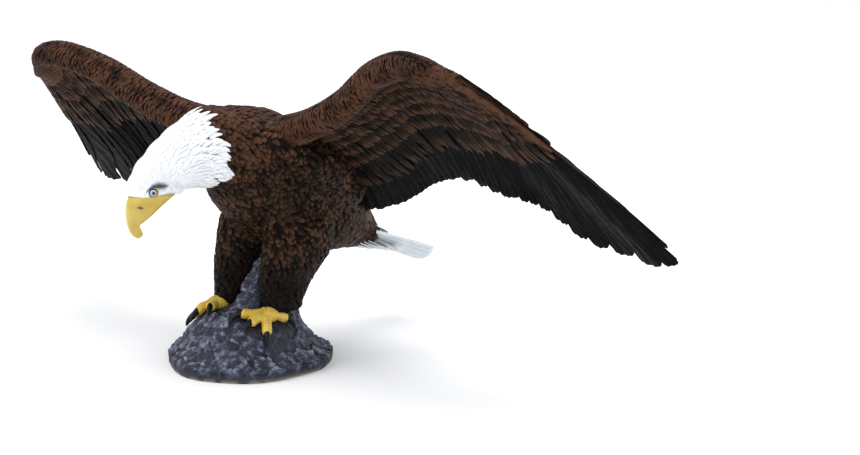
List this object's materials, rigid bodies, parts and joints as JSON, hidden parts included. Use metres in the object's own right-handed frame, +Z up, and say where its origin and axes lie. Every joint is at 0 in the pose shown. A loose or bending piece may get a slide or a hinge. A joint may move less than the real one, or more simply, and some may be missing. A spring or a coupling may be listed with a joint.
{
  "type": "bald eagle figurine",
  "caption": "Small moulded plastic figurine of a bald eagle, leaning forward with wings raised and spread and head lowered, standing on a rough grey rock base.",
  "frame": {"origin": "middle of the rock's flat underside, which rests on the floor", "axes": "+Z up; the bird's chest faces -Y and its tail +Y; its left wing reaches to +X and its right wing to -X"},
  "size_m": [0.198, 0.0945, 0.0834],
  "materials": {
    "brown_plumage": "satin",
    "white_plumage": "satin",
    "bill": "satin",
    "eye": "gloss",
    "foot": "satin",
    "claw": "satin",
    "rock": "satin"
  },
  "bodies": {
    "root": {"rock_base": "rock", "trunk": "brown_plumage", "leg_left": "brown_plumage", "leg_right": "brown_plumage", "wing_left": "brown_plumage", "wing_right": "brown_plumage", "neck": "white_plumage", "head": "white_plumage", "tail": "white_plumage", "upper_bill": "bill", "lower_bill": "bill", "eye_left": "eye", "eye_right": "eye", "foot_left": "foot", "foot_right": "foot", "claw_left_1": "claw", "claw_left_2": "claw", "claw_left_3": "claw", "claw_left_4": "claw", "claw_right_1": "claw", "claw_right_2": "claw", "claw_right_3": "claw", "claw_right_4": "claw"}
  },
  "joints": []
}
